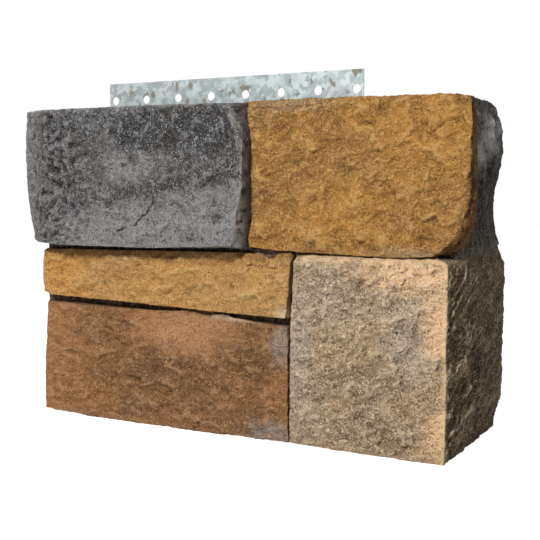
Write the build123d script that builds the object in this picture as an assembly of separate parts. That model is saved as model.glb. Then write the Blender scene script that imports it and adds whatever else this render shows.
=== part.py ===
from build123d import *
from collections import namedtuple
from math import cos, radians, sin
import os

# Ledger stone veneer corner: one cast stone panel, L-shaped in plan, with a steel nailing flange cast into its top.
# While it is modelled, x is 0 at the corner stone's upright arris and runs along the long leg, y is 0 at the corner
# stone's front face and runs back to the wall, and z is 0 at the foot. All lengths are in millimetres.

# Legs of the panel
panel_height = 203.2        # foot to the top of the upper course
long_leg = 292.8            # corner arris to the free end of the grey stone
return_leg = 101.6          # corner stone's front face to the free end of the return
leg_thickness = 38.1        # stone face to wall face, the same on both legs
backing_end_step = 6.0      # the backing stops this far short of the grey stone's free end

# Joints between the stones
joint_depth = 9.0           # corner stone's face to the floor of the joints
course_joint_height = 113.0 # middle of the joint between the lower and upper course
course_gap = 3.5
strip_joint_free = 78.8     # middle of the sloping joint under the tan strip, at the free end
strip_joint_corner = 73.5   # and where it meets the corner stone
strip_gap = 4.5
upper_joint = 122.4         # corner arris to the upright joint of the upper course
lower_joint = 95.6          # corner arris to the upright joint of the lower course
upright_gap = 1.0
stone_root = 6.0            # depth of each stone below the joint floor
stone_draft = 2.0           # degrees that a stone's sides draw in towards its face

# How far each stone's face stands out from the corner stone's faces
grey_proud = 8.0
gold_proud = -3.5
strip_proud = -1.5
rust_proud = 0.6
return_stone_proud = 1.5

# Ends and corners of single stones
strip_end_step = 4.0        # shorter than the grey stone at the free end
rust_end_step = 5.5
gold_overhang = 12.0        # past the corner arris
gold_end_depth = 12.5       # corner stone's front face to the back of the gold stone's end
gold_corner_radius = 24.0   # rounded lower corner at the return
corner_bulge = 5.0          # swell of the corner stone's return face
corner_bulge_start = 34.0   # depth at which the return face reaches its swell
corner_rise = 7.5           # rise of the corner stone's top from the front to the free end of the return
return_joint_gap = 2.0      # back of the gold stone's end to the start of the upper return stone
return_stone_end_step = 2.5 # shorter than the return at its free end
return_stone_rise = 1.2     # above the other stones

# Nailing flange
flange_rise = 19.0          # above the stones
flange_embed = 19.0         # below the top of the stones
flange_thickness = 0.9
flange_cover = 4.0          # stone between the flange and the wall face
flange_end = 63.8           # corner arris to the flange's nearer end
hole_count = 8
hole_pitch = 25.4
hole_diameter = 5.6
hole_rise = 7.6             # hole centres above the stones
hole_end_margin = 4.6       # last hole's centre to the flange's end

# Rebate along the back of the foot, which laps over the flange of the course below
rebate_clearance = 3.0      # over the top of that flange
nail_head_room = 3.5        # in front of that flange

# Sides of a stone's outline, seen from in front of its face and taken anticlockwise
BOTTOM, RIGHT, TOP, LEFT = range(4)

# A facet is split off along the line from one point of the outline to another: what lies to the right of the line
# falls back from the face by an angle in degrees. A point is a side and a distance along it, taken from the side's
# start, or back from its end where the distance is negative.
Facet = namedtuple("Facet", "start end fall")

grey_facets = [
    Facet((RIGHT, 40.0), (LEFT, -21.0), 2.0),       # upper face leaning back behind the long ridge
    Facet((TOP, -21.0), (BOTTOM, 18.0), 9.0),       # strip down the free end
    Facet((RIGHT, -24.0), (TOP, 15.0), 48.0),       # broken upper corner beside the gold stone
    Facet((BOTTOM, -10.0), (RIGHT, 40.0), 55.0),    # long break in the lower corner beside the gold stone
    Facet((LEFT, -19.0), (BOTTOM, 7.0), 50.0),      # broken lower corner at the free end
]
gold_facets = [
    Facet((BOTTOM, -46.0), (TOP, 62.0), 2.0),       # face turning away towards the return
    Facet((RIGHT, -6.0), (LEFT, 5.0), 24.0),        # weathered top edge
    Facet((RIGHT, -11.0), (TOP, 9.0), 50.0),        # chipped upper corner at the return
    Facet((LEFT, -7.0), (BOTTOM, 84.0), 9.0),       # foot turning under beside the grey stone
]
strip_facets = [
    Facet((RIGHT, 20.0), (LEFT, 14.0), 4.0),        # upper half leaning back
    Facet((LEFT, 22.0), (RIGHT, 9.0), 5.0),         # lower edge turning under
    Facet((TOP, -8.0), (BOTTOM, 5.0), 24.0),        # free end
]
rust_facets = [
    Facet((RIGHT, 48.0), (LEFT, 24.0), 3.5),        # upper face leaning back
    Facet((BOTTOM, 104.0), (RIGHT, 27.0), 6.0),     # lower face turning under beside the corner stone
    Facet((TOP, -28.0), (BOTTOM, 14.0), 7.0),       # free end
    Facet((LEFT, -9.0), (BOTTOM, 60.0), 14.0),      # broken foot at the free end
]
corner_front_facets = [
    Facet((LEFT, -10.0), (RIGHT, 17.0), 6.0),       # foot turning under
    Facet((RIGHT, -9.0), (LEFT, 14.0), 5.0),        # top edge leaning back
    Facet((BOTTOM, -6.0), (TOP, 4.0), 20.0),        # worn corner arris
]
corner_return_facets = [
    Facet((LEFT, -24.0), (RIGHT, 27.0), 15.0),      # foot turning under
    Facet((RIGHT, -20.0), (LEFT, 8.0), 12.0),       # shoulder under the upper stone
    Facet((BOTTOM, -12.0), (TOP, 7.0), 10.0),       # free end
    Facet((BOTTOM, -44.0), (RIGHT, 10.0), 42.0),    # broken foot at the free end
]
return_stone_facets = [
    Facet((RIGHT, -16.0), (LEFT, 9.0), 20.0),       # top edge leaning back
    Facet((TOP, -9.0), (BOTTOM, 16.0), 8.0),        # edge in the shadow of the gold stone
]

# A scoop is a shell-shaped break in an edge: a ball of a radius bites to a depth below the edge at a point of the
# outline, from a direction that leans out from the face by an angle in degrees.
Scoop = namedtuple("Scoop", "place radius depth lean")

grey_scoops = [
    Scoop((BOTTOM, 96.0), 60.0, 1.6, 30.0),         # flaked lower edge
    Scoop((LEFT, 40.0), 45.0, 2.0, 40.0),           # flaked free end
]
gold_scoops = [
    Scoop((RIGHT, 42.0), 5.0, 1.6, 45.0),           # nick in the edge at the return
    Scoop((TOP, 96.0), 80.0, 2.0, 30.0),            # flaked top edge
]
strip_scoops = [
    Scoop((TOP, 22.0), 18.0, 4.5, 40.0),            # bite out of the top edge beside the corner stone
    Scoop((TOP, 92.0), 120.0, 2.0, 20.0),           # long flake under the grey stone
]
rust_scoops = [
    Scoop((TOP, 70.0), 140.0, 4.0, 5.0),            # broad smooth flake in the middle of the top edge
    Scoop((RIGHT, 60.0), 24.0, 2.0, 45.0),          # break in the upper corner beside the corner stone
]
corner_return_scoops = [
    Scoop((BOTTOM, 62.0), 30.0, 4.0, 40.0),         # break in the foot
    Scoop((RIGHT, 66.0), 70.0, 2.5, 40.0),          # break in the free end
]
return_stone_scoops = [
    Scoop((RIGHT, 30.0), 60.0, 3.0, 30.0),          # hollow at the free end
]

# A flake is a shell-shaped hollow inside a face: a ball leaves a round bite of a reach and a depth. Its place is the
# share of the way across the outline and the share of the way up it.
Flake = namedtuple("Flake", "place reach depth")

grey_flakes = [
    Flake((0.50, 0.68), 20.0, 1.5),                 # upper face
    Flake((0.70, 0.80), 18.0, 1.4),
    Flake((0.30, 0.76), 17.0, 1.5),
    Flake((0.88, 0.64), 16.0, 1.2),
    Flake((0.88, 0.34), 17.0, 2.2),                 # row of hollows under the long ridge
    Flake((0.74, 0.32), 13.0, 1.8),
    Flake((0.61, 0.28), 15.0, 1.9),
    Flake((0.46, 0.27), 13.0, 1.6),
    Flake((0.30, 0.26), 16.0, 1.7),
    Flake((0.17, 0.52), 15.0, 1.8),                 # free end
    Flake((0.15, 0.84), 14.0, 1.8),
    Flake((0.11, 0.24), 12.0, 1.6),
]
gold_flakes = [
    Flake((0.13, 0.84), 16.0, 1.3),
    Flake((0.34, 0.80), 18.0, 1.4),
    Flake((0.63, 0.86), 17.0, 1.4),
    Flake((0.20, 0.54), 19.0, 1.7),
    Flake((0.46, 0.60), 18.0, 1.6),
    Flake((0.73, 0.60), 16.0, 1.6),
    Flake((0.11, 0.26), 15.0, 1.4),
    Flake((0.36, 0.26), 18.0, 1.6),
    Flake((0.62, 0.30), 19.0, 1.6),
    Flake((0.87, 0.40), 14.0, 1.3),
]
strip_flakes = [
    Flake((0.08, 0.48), 12.0, 1.5),                 # lumps at the free end
    Flake((0.19, 0.60), 11.0, 1.3),
    Flake((0.32, 0.42), 15.0, 1.3),
    Flake((0.48, 0.56), 16.0, 1.2),
    Flake((0.63, 0.38), 14.0, 1.3),
    Flake((0.78, 0.56), 15.0, 1.3),
    Flake((0.91, 0.38), 12.0, 1.1),
]
rust_flakes = [
    Flake((0.16, 0.70), 18.0, 1.7),
    Flake((0.33, 0.78), 16.0, 1.4),
    Flake((0.10, 0.24), 16.0, 1.5),
    Flake((0.28, 0.34), 19.0, 1.8),
    Flake((0.46, 0.46), 17.0, 1.7),
    Flake((0.52, 0.16), 16.0, 1.5),
    Flake((0.68, 0.38), 19.0, 1.8),
    Flake((0.84, 0.24), 16.0, 1.5),
    Flake((0.92, 0.64), 13.0, 1.6),
]
corner_front_flakes = [
    Flake((0.15, 0.86), 15.0, 1.3),
    Flake((0.44, 0.80), 18.0, 1.5),
    Flake((0.73, 0.86), 14.0, 1.1),
    Flake((0.18, 0.57), 17.0, 1.6),
    Flake((0.48, 0.51), 16.0, 1.5),
    Flake((0.76, 0.60), 15.0, 1.2),
    Flake((0.20, 0.27), 18.0, 1.6),
    Flake((0.50, 0.21), 16.0, 1.5),
    Flake((0.76, 0.30), 16.0, 1.3),
]
corner_return_flakes = [
    Flake((0.15, 0.58), 15.0, 2.2),                 # gouges climbing to the free end
    Flake((0.34, 0.74), 17.0, 2.5),
    Flake((0.58, 0.86), 14.0, 2.2),
    Flake((0.20, 0.28), 16.0, 2.3),
    Flake((0.42, 0.46), 18.0, 2.6),
    Flake((0.64, 0.62), 15.0, 2.4),
    Flake((0.85, 0.78), 15.0, 2.2),
    Flake((0.48, 0.20), 15.0, 2.3),
    Flake((0.70, 0.36), 17.0, 2.5),
    Flake((0.88, 0.50), 14.0, 2.2),
]
return_stone_flakes = [
    Flake((0.20, 0.26), 27.0, 4.6),                 # long hollow above the corner stone
    Flake((0.56, 0.24), 26.0, 4.4),
    Flake((0.94, 0.25), 26.0, 5.2),
    Flake((0.22, 0.84), 16.0, 2.3),                 # upper face
    Flake((0.58, 0.80), 15.0, 2.1),
    Flake((0.42, 0.47), 17.0, 3.2),                 # breaks in the upper side of the hollow
    Flake((0.74, 0.43), 15.0, 3.4),
]

# Faces of the two legs: the first axis runs to the right as the face is looked at, and the third points outwards.
front_face = Plane(origin=(0, 0, 0), x_dir=(1, 0, 0), z_dir=(0, -1, 0))
return_face = Plane(origin=(0, 0, 0), x_dir=(0, 1, 0), z_dir=(1, 0, 0))

# Values that follow from those above
stone_depth = joint_depth + stone_root
upper_foot = course_joint_height + course_gap / 2
lower_top = course_joint_height - course_gap / 2
return_stone_start = gold_end_depth + return_joint_gap
flange_length = (hole_count - 1) * hole_pitch + 2 * hole_end_margin
flange_front = leg_thickness - flange_cover - flange_thickness
rebate_height = flange_rise + rebate_clearance
rebate_depth = flange_cover + flange_thickness + nail_head_room


def point_on(outline, side, along):
    """The point on a side of an outline at a distance from its start, or back from its end if negative."""
    start = Vector(*outline[side])
    end = Vector(*outline[(side + 1) % len(outline)])
    run = (end - start).normalized()
    return (start if along >= 0 else end) + run * along


def outward_from(outline, side):
    """The direction that points out of an outline across one of its sides."""
    run = Vector(*outline[(side + 1) % len(outline)]) - Vector(*outline[side])
    return Vector(run.Y, -run.X, 0).normalized()


def split_facets(stone, outline, proud, facets):
    """Split the facets off a stone that lies on its back, with its face at the height proud."""
    for facet in facets:
        start = point_on(outline, *facet.start)
        end = point_on(outline, *facet.end)
        run = (end - start).normalized()
        away = Vector(run.Y, -run.X, 0)
        fall = radians(facet.fall)
        normal = away * sin(fall) + Vector(0, 0, 1) * cos(fall)
        cut = Plane(origin=(start.X, start.Y, proud), z_dir=normal)
        stone = split(stone, bisect_by=cut, keep=Keep.BOTTOM)
    return stone


def ball(centre, radius):
    """A ball with its poles on the level, so that its smooth side faces down into a stone that lies on its back."""
    return Pos(centre) * Rot(90, 0, 0) * Sphere(radius)


def bite_scoops(stone, outline, proud, scoops):
    """Bite the scoops out of the edges of a stone that lies on its back, with its face at the height proud."""
    for scoop in scoops:
        side, along = scoop.place
        edge = point_on(outline, side, along) + Vector(0, 0, proud)
        lean = radians(scoop.lean)
        towards = outward_from(outline, side) * sin(lean) + Vector(0, 0, 1) * cos(lean)
        stone = stone - ball(edge + towards * (scoop.radius - scoop.depth), scoop.radius)
    return stone


def chip_flakes(stone, outline, flakes):
    """Chip the flakes out of the face of a stone that lies on its back, each square to the face at its place."""
    lower_left, lower_right, upper_right, upper_left = (Vector(*corner) for corner in outline)
    chipped = stone
    for flake in flakes:
        across, up = flake.place
        low = lower_left + (lower_right - lower_left) * across
        high = upper_left + (upper_right - upper_left) * across
        place = low + (high - low) * up
        line = Axis((place.X, place.Y, 0), (0, 0, 1))
        spot, outward = max(stone.find_intersection_points(line), key=lambda found: found[0].Z)
        radius = (flake.reach ** 2 + flake.depth ** 2) / (2 * flake.depth)
        chipped = chipped - ball(spot + outward * (radius - flake.depth), radius)
    return chipped


def drafted_stone(outline, proud, depth, facets, scoops, flakes, rounded_corner=None, radius=0.0):
    """A stone lying on its back: its outline drawn out to its face, its sides drawing in, and its breaks."""
    bed = make_face(Polyline(*outline, close=True))
    if rounded_corner is not None:
        corner = bed.vertices().sort_by_distance(outline[rounded_corner])[0]
        bed = fillet(corner, radius)
    block = extrude(Pos(0, 0, -depth) * bed, depth + proud, taper=stone_draft)
    faceted = split_facets(block, outline, proud, facets)
    return chip_flakes(bite_scoops(faceted, outline, proud, scoops), outline, flakes)


def grey_stone():
    right = -upper_joint - upright_gap / 2
    outline = [(-long_leg, upper_foot), (right, upper_foot), (right, panel_height), (-long_leg, panel_height)]
    return front_face * drafted_stone(outline, grey_proud, stone_depth, grey_facets, grey_scoops, grey_flakes)


def gold_stone():
    left = -upper_joint + upright_gap / 2
    outline = [(left, upper_foot), (gold_overhang, upper_foot), (gold_overhang, panel_height), (left, panel_height)]
    breaks = (gold_facets, gold_scoops, gold_flakes)
    return front_face * drafted_stone(outline, gold_proud, gold_end_depth, *breaks, RIGHT, gold_corner_radius)


def strip_stone():
    left = strip_end_step - long_leg
    right = -lower_joint - upright_gap / 2
    outline = [
        (left, strip_joint_free + strip_gap / 2),
        (right, strip_joint_corner + strip_gap / 2),
        (right, lower_top),
        (left, lower_top),
    ]
    return front_face * drafted_stone(outline, strip_proud, stone_depth, strip_facets, strip_scoops, strip_flakes)


def rust_stone():
    left = rust_end_step - long_leg
    right = -lower_joint - upright_gap / 2
    outline = [
        (left, 0),
        (right, 0),
        (right, strip_joint_corner - strip_gap / 2),
        (left, strip_joint_free - strip_gap / 2),
    ]
    return front_face * drafted_stone(outline, rust_proud, stone_depth, rust_facets, rust_scoops, rust_flakes)


def corner_stone():
    """The corner stone goes round the corner: its plan drawn up to its sloping top, and both faces split."""
    left = -lower_joint + upright_gap / 2
    rear_top = lower_top + corner_rise
    plan = Polyline(
        (left, 0),
        (0, 0),
        (corner_bulge, corner_bulge_start),
        (corner_bulge, return_leg),
        (-stone_depth, return_leg),
        (-stone_depth, stone_depth),
        (left, stone_depth),
        close=True,
    )
    block = extrude(make_face(plan), rear_top)
    top = Plane(origin=(0, 0, lower_top), z_dir=(0, -corner_rise, return_leg))
    block = split(block, bisect_by=top, keep=Keep.BOTTOM)
    front_outline = [(left, 0), (0, 0), (0, lower_top), (left, lower_top)]
    return_outline = [(0, 0), (return_leg, 0), (return_leg, rear_top), (0, lower_top)]
    lying = front_face.location.inverse() * block
    lying = split_facets(lying, front_outline, 0, corner_front_facets)
    block = front_face * chip_flakes(lying, front_outline, corner_front_flakes)
    lying = return_face.location.inverse() * block
    lying = split_facets(lying, return_outline, corner_bulge, corner_return_facets)
    lying = bite_scoops(lying, return_outline, corner_bulge, corner_return_scoops)
    return return_face * chip_flakes(lying, return_outline, corner_return_flakes)


def return_stone():
    """The upper stone of the return, which runs into the corner stone's sloping top without a joint."""
    far = return_leg - return_stone_end_step
    slope = corner_rise / return_leg
    top = panel_height + return_stone_rise
    outline = [
        (return_stone_start, lower_top + slope * return_stone_start),
        (far, lower_top + slope * far),
        (far, top),
        (return_stone_start, top),
    ]
    breaks = (return_stone_facets, return_stone_scoops, return_stone_flakes)
    return return_face * drafted_stone(outline, return_stone_proud, stone_depth, *breaks)


def backing():
    """The grey body behind the stones: L-shaped in plan, its front being the floor of the joints."""
    free_end = backing_end_step - long_leg
    plan = Polyline(
        (free_end, joint_depth),
        (-joint_depth, joint_depth),
        (-joint_depth, return_leg),
        (-leg_thickness, return_leg),
        (-leg_thickness, leg_thickness),
        (free_end, leg_thickness),
        close=True,
    )
    return extrude(make_face(plan), panel_height)


def foot_rebate():
    """The space that the rebate takes out along the back of the long leg's foot."""
    near = Vector(-long_leg, leg_thickness - rebate_depth)
    far = Vector(-leg_thickness, leg_thickness)
    size = far - near
    return Pos(near.X, near.Y, 0) * Box(size.X, size.Y, rebate_height, align=Align.MIN)


def flange_strip():
    """The flange before it is punched, standing half in the panel."""
    near = (-flange_end - flange_length, flange_front, panel_height - flange_embed)
    return Pos(near) * Box(flange_length, flange_thickness, flange_embed + flange_rise, align=Align.MIN)


def punched_holes():
    """The row of nail holes, centred on the flange's length."""
    row = Pos(-flange_end - flange_length / 2, flange_front + flange_thickness / 2, panel_height + hole_rise)
    places = GridLocations(hole_pitch, 0, hole_count, 1)
    through = Rot(90, 0, 0) * Cylinder(hole_diameter / 2, 2 * flange_thickness)
    return [row * place * through for place in places]


stones = [grey_stone(), gold_stone(), strip_stone(), rust_stone(), corner_stone(), return_stone()]
panel = backing().fuse(*stones) - foot_rebate() - flange_strip()
flange = flange_strip() - punched_holes()

# The finished part has its origin at the bottom centre of its box
box = panel.bounding_box().add(flange.bounding_box())
to_origin = Pos(-box.center().X, -box.center().Y, -box.min.Z)

os.makedirs("parts", exist_ok=True)
export_step(to_origin * panel, "parts/cast_stone_panel.step")
export_step(to_origin * flange, "parts/nailing_flange.step")
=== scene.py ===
import math

import bpy
import numpy as np
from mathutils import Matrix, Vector


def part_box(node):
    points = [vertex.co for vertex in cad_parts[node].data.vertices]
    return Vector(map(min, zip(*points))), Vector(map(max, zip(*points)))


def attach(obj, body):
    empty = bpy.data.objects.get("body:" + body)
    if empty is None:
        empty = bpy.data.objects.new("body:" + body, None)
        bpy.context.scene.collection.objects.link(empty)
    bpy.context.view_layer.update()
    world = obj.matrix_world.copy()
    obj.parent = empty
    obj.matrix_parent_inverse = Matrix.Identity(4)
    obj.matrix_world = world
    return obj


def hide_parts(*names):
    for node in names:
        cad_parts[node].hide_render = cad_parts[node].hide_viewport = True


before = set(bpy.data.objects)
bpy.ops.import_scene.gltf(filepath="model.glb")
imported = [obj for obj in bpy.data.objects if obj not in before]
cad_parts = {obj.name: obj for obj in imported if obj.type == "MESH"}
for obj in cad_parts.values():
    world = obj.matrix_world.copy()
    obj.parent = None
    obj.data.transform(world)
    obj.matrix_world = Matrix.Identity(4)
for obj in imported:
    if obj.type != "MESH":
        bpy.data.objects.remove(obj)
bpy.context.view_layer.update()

# A cast-stone ledger panel for an outside corner, with a galvanised nailing flange.
# Stones are worked out in millimetres from the corner stone's front arris: x runs right along the long face,
# y runs back to the wall and z runs up. place_in_frame() turns that into metres in the frame.
MM = 0.001
GOLD_OVERHANG = 12.0
GREY_PROUD = 8.0
panel_low, panel_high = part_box("cast_stone_panel")
ARRIS = np.array([panel_high.x - GOLD_OVERHANG * MM, panel_low.y + GREY_PROUD * MM, 0.0])

# The panel's plan and levels
RETURN_END = (panel_high.y - ARRIS[1]) / MM
FREE_END = (panel_low.x - ARRIS[0]) / MM
PANEL_HEIGHT = 203.2
LEG_THICKNESS = 38.1
JOINT_DEPTH = 9.0
BACKING_END = FREE_END + 6.0
BACKING_RETURN_END = RETURN_END - 0.6
BACKING_TOP = PANEL_HEIGHT - 0.7
STONE_ROOT = -15.0
GOLD_ROOT = -16.0
CORNER_LEFT = -95.6
REBATE_HEIGHT = 22.0
REBATE_DEPTH = 8.4

# Mesh spacing on the stones' faces and on the plain backing, and the rings down each stone's sides
FACE_STEP = 0.52
CORNER_STEP = 0.58
BACKING_STEP = 2.0
SIDE_RINGS = 13

# The photograph's camera: its place and lens in millimetres, and where it looks from in degrees
CAMERA_PLACE = (165.2, -501.033, 152.641)
CAMERA_AZIMUTH = 28.654
CAMERA_ELEVATION = 4.887
CAMERA_LENS = 64.634
CAMERA_SENSOR = 36.0

# Light levels: the even light of the surround, and the floor's own colour and its glow to the camera
SOFT_LIGHT = 0.085
FLOOR_GREY = (0.62, 0.62, 0.62, 1.0)
FLOOR_WHITE = 0.95
WHITE = (1.0, 1.0, 1.0, 1.0)


def place_in_frame(points):
    """Millimetres from the arris to metres in the frame."""
    return np.asarray(points, dtype=float) * MM + ARRIS


# Noise and shaping helpers

def step_up(value, low, high):
    """Smooth step: 0 at low, 1 at high, a cubic between; low may be the greater."""
    share = np.clip((value - low) / (high - low), 0.0, 1.0)
    return share * share * (3.0 - 2.0 * share)


def hashed(column, row, seed):
    """A repeatable number from 0 to 1 for each whole-number place: its coordinates times large odd numbers,
    mixed by shifts and cut to 16 bits."""
    mixed = column * 374761393 + row * 668265263 + seed * 974634777
    mixed = (mixed ^ (mixed >> 13)) * 1274126177
    mixed = mixed ^ (mixed >> 16)
    return (mixed & 0xFFFF) / 0xFFFF


def waves(across, up, size, seed):
    """Gradient noise of about -1 to 1: every lattice corner has a random slope, and the four slopes around a
    place are blended by a quintic curve."""
    x = across / size
    y = up / size
    column = np.floor(x).astype(np.int64)
    row = np.floor(y).astype(np.int64)
    x = x - column
    y = y - row
    blend_x = x * x * x * (x * (6.0 * x - 15.0) + 10.0)
    blend_y = y * y * y * (y * (6.0 * y - 15.0) + 10.0)
    total = np.zeros_like(x)
    for right, share_x in ((0, 1.0 - blend_x), (1, blend_x)):
        for above, share_y in ((0, 1.0 - blend_y), (1, blend_y)):
            turn = 2.0 * math.pi * hashed(column + right, row + above, seed)
            total += share_x * share_y * (np.cos(turn) * (x - right) + np.sin(turn) * (y - above))
    return 1.5 * total


def rough(across, up, size, seed, octaves=4, gain=0.5):
    """Fractal noise: a sum of waves, each octave half the size and `gain` times the height of the last."""
    total = np.zeros_like(across)
    height = 1.0
    for octave in range(octaves):
        total += height * waves(across, up, size / 2 ** octave, seed + 101 * octave)
        height *= gain
    return total


def split_face(across, up, size, seed, ridged=0.4, gain=0.58):
    """The relief of split rock, about -1 to 1 with a mean of 0: octaves of plain waves and of sharp-crested
    ones, one minus twice a wave's size, down to about a millimetre, over places that wander by slow noise."""
    smallest = 1.2
    bent = across + 0.3 * size * waves(across, up, 1.3 * size, seed + 1)
    risen = up + 0.3 * size * waves(across, up, 1.3 * size, seed + 2)
    total = np.zeros_like(across)
    height = 1.0
    octave = 0
    while size / 2 ** octave > smallest:
        scale = size / 2 ** octave
        crest = 1.0 - 2.0 * np.abs(waves(bent, risen, 1.4 * scale, seed + 31 * octave + 7))
        total += height * ((1.0 - ridged) * waves(bent, risen, scale, seed + 31 * octave) + ridged * crest)
        height *= gain
        octave += 1
    return total - total.mean()


def scattered(across, up, size, seed):
    """For points scattered one to a cell over a wandering lattice, the nine near each place: its distance
    across and up from each, in cells, and the point's own column and row."""
    x = across / size + 0.35 * rough(across, up, 0.9 * size, seed + 11, octaves=3)
    y = up / size + 0.35 * rough(across, up, 0.9 * size, seed + 12, octaves=3)
    for right in (-1, 0, 1):
        for above in (-1, 0, 1):
            column = np.floor(x).astype(np.int64) + right
            row = np.floor(y).astype(np.int64) + above
            away_x = x - column - hashed(column, row, seed)
            away_y = y - row - hashed(column, row, seed + 1)
            yield away_x, away_y, column, row


def flakes(across, up, size, seed):
    """Broken facets: every scattered point has its own level and tilt, and a place takes the mean of the near
    ones weighted by a narrow bell: nearly flat by a point, with a short turn between two."""
    bell = 0.16
    weights = np.zeros_like(across)
    height = np.zeros_like(across)
    for away_x, away_y, column, row in scattered(across, up, size, seed):
        weight = np.exp(-(away_x ** 2 + away_y ** 2) / bell)
        level = 0.5 * hashed(column, row, seed + 2) - 0.25
        lean_x = 2.0 * hashed(column, row, seed + 3) - 1.0
        lean_y = 2.0 * hashed(column, row, seed + 4) - 1.0
        height += weight * (level + lean_x * away_x + lean_y * away_y)
        weights += weight
    return height / weights


def lumps(across, up, size, seed):
    """Rounded lumps with creases between them: half less the squared distance to the nearest scattered
    point."""
    nearest = np.full(across.shape, np.inf)
    for away_x, away_y, _, _ in scattered(across, up, size, seed):
        nearest = np.minimum(nearest, away_x ** 2 + away_y ** 2)
    return 0.5 - nearest


def blur(values, reach):
    """Gaussian blur of a grid, as one matrix product for its rows and one for its columns; reach in steps."""
    def weights(count):
        offset = np.arange(count)[:, None] - np.arange(count)[None, :]
        bell = np.exp(-0.5 * (offset / reach) ** 2)
        return bell / bell.sum(axis=1, keepdims=True)
    return weights(values.shape[0]) @ values @ weights(values.shape[1]).T


def spread(coarse, rows, columns):
    """A coarse grid read at more places by cubic B-splines, which also round its creases."""
    def weights(fine, count):
        away = np.abs(np.linspace(0.0, count - 1.0, fine)[:, None] - np.arange(count)[None, :])
        near = 2.0 / 3.0 - away ** 2 + 0.5 * away ** 3
        far = np.clip(2.0 - away, 0.0, None) ** 3 / 6.0
        share = np.where(away < 1.0, near, far)
        return share / share.sum(axis=1, keepdims=True)
    return weights(rows, coarse.shape[0]) @ coarse @ weights(columns, coarse.shape[1]).T


def line_distance(across, up, line):
    """Distance from each place to the nearest straight run of a line of points."""
    least = np.full(across.shape, np.inf)
    for (x0, y0), (x1, y1) in zip(line, line[1:]):
        run = (x1 - x0) ** 2 + (y1 - y0) ** 2
        share = np.clip(((across - x0) * (x1 - x0) + (up - y0) * (y1 - y0)) / run, 0.0, 1.0)
        least = np.minimum(least, np.hypot(across - x0 - share * (x1 - x0), up - y0 - share * (y1 - y0)))
    return least


def crack(across, up, line, width, depth, seed):
    """A crack: a bell-shaped groove along a line whose course wanders, with stretches where it closes."""
    wander_x = 1.1 * rough(across, up, 5.0, seed, octaves=3)
    wander_y = 1.1 * rough(across, up, 5.0, seed + 3, octaves=3)
    opening = np.clip(0.75 + 0.9 * rough(across, up, 7.0, seed + 6, octaves=2), 0.1, 1.4)
    return depth * opening * np.exp(-(line_distance(across + wander_x, up + wander_y, line) / width) ** 2)


def blob(across, up, centre, size, seed, ragged=0.35):
    """A patch mask from 1 to 0: an ellipse's bell whose outline is broken up by noise."""
    reach = np.hypot((across - centre[0]) / size[0], (up - centre[1]) / size[1])
    reach = reach + ragged * rough(across, up, 0.7 * min(size), seed, octaves=5, gain=0.65)
    return step_up(reach, 1.5, 0.3)


def blobs(across, up, *spots):
    """The greatest of several patch masks; a spot is a centre, a size and a seed."""
    return np.maximum.reduce([blob(across, up, *spot) for spot in spots])


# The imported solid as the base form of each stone

def cad_triangles(node):
    """A node's triangles, in millimetres from the arris, as an array of corners."""
    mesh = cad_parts[node].data
    mesh.calc_loop_triangles()
    places = np.empty(len(mesh.vertices) * 3)
    mesh.vertices.foreach_get("co", places)
    corners = np.empty(len(mesh.loop_triangles) * 3, dtype=np.int32)
    mesh.loop_triangles.foreach_get("vertices", corners)
    return ((places.reshape(-1, 3) - ARRIS) / MM)[corners.reshape(-1, 3)]


PANEL_TRIANGLES = cad_triangles("cast_stone_panel")
FRONT_AXES = (np.array([1.0, 0.0, 0.0]), np.array([0.0, 0.0, 1.0]), np.array([0.0, -1.0, 0.0]))
RETURN_AXES = (np.array([0.0, 1.0, 0.0]), np.array([0.0, 0.0, 1.0]), np.array([1.0, 0.0, 0.0]))


def solid_height(axes, across, up):
    """The solid's greatest height over each place of a face, along the face's outward axis. For each triangle
    that faces outward, the places inside it, by barycentric weights, take the weighted mean of its
    corners."""
    flat_x, flat_y, out = (PANEL_TRIANGLES @ axis for axis in axes)
    area = ((flat_x[:, 1] - flat_x[:, 0]) * (flat_y[:, 2] - flat_y[:, 0])
            - (flat_x[:, 2] - flat_x[:, 0]) * (flat_y[:, 1] - flat_y[:, 0]))
    smallest = 0.01
    inside = ((area > smallest)
              & (flat_x.max(axis=1) > across.min()) & (flat_x.min(axis=1) < across.max())
              & (flat_y.max(axis=1) > up.min()) & (flat_y.min(axis=1) < up.max()))
    heights = np.full(across.shape, -np.inf)
    for x, y, level, whole in zip(flat_x[inside], flat_y[inside], out[inside], area[inside]):
        first = ((x[1] - across) * (y[2] - up) - (x[2] - across) * (y[1] - up)) / whole
        second = ((x[2] - across) * (y[0] - up) - (x[0] - across) * (y[2] - up)) / whole
        third = 1.0 - first - second
        covered = (first >= 0.0) & (second >= 0.0) & (third >= 0.0)
        height = first * level[0] + second * level[1] + third * level[2]
        heights = np.where(covered, np.maximum(heights, height), heights)
    return heights


def base_form(axes, across, up, lowest, seed):
    """A stone's own facets and scoops, read from the solid on a coarse grid that wanders by noise, so that
    the solid's straight breaks come out uneven, and that keeps an inset from the stone's edges."""
    every = 4
    inset = 2.4
    wander = 1.8
    coarse_x = across[::every, ::every]
    coarse_y = up[::every, ::every]
    at_x = coarse_x + wander * rough(coarse_x, coarse_y, 16.0, seed, octaves=2)
    at_y = coarse_y + wander * rough(coarse_x, coarse_y, 16.0, seed + 9, octaves=2)
    at_x = np.clip(at_x, across[::every, :1] + inset, across[::every, -1:] - inset)
    at_y = np.clip(at_y, up[:1, ::every] + inset, up[-1:, ::every] - inset)
    heights = np.maximum(solid_height(axes, at_x, at_y), lowest)
    return spread(heights, *across.shape)


# Stone meshes

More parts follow.
